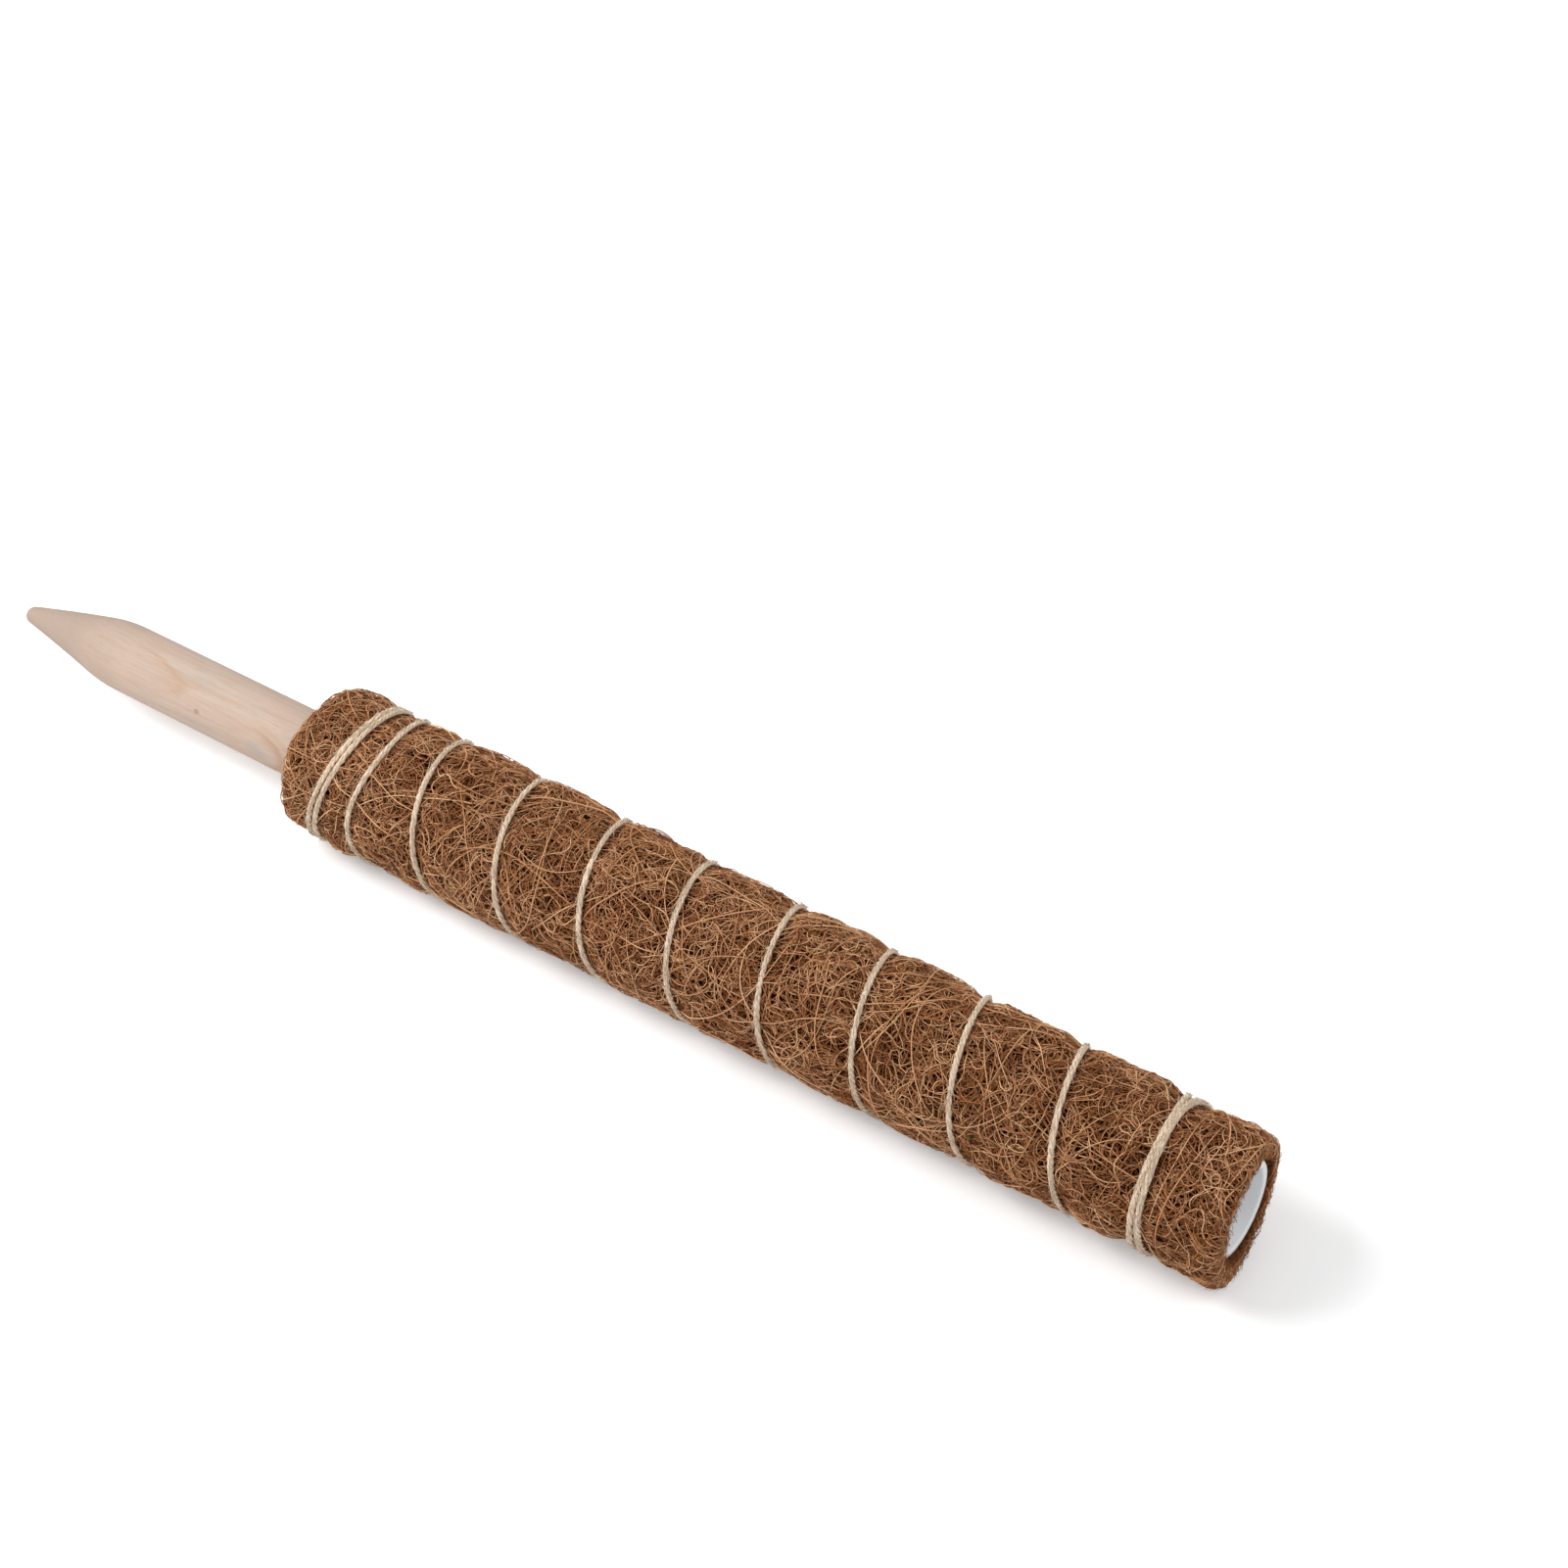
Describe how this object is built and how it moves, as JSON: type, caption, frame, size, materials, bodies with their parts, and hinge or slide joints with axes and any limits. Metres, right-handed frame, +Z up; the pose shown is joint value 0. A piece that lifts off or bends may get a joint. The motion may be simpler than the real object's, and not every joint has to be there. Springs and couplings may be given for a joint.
{
  "type": "moss pole",
  "caption": "Round plant support pole: white pipe wrapped in coir and tied with spiral twine, with a pointed wooden stake at one end and an open socket at the other.",
  "frame": {"origin": "centre of the bounding box, on the floor that the pole lies on", "axes": "+X along the pole from the stake's point to the open end, +Z up, pole lying on its side"},
  "size_m": [0.3134, 0.0335, 0.0323],
  "materials": {
    "pipe_plastic": "white extruded plastic pipe, satin, with a sawn edge",
    "stake_wood": "bare pale wood, fine grain",
    "coir_fibre": "tangled coconut fibre, brown with lighter single fibres",
    "twine": "thin grey-beige jute twine, slightly fuzzy"
  },
  "bodies": {
    "pole": {"pvc_pipe": "pipe_plastic", "coir_mat": "coir_fibre", "jute_twine": "twine", "lower_knot": "twine", "upper_knot": "twine"},
    "stake": {"wooden_stake": "stake_wood"}
  },
  "joints": [
    {"name": "stake_pull", "type": "slide", "parent": "pole", "child": "stake", "axis": [-1, 0, 0], "range_m": [0, 0.06]}
  ]
}
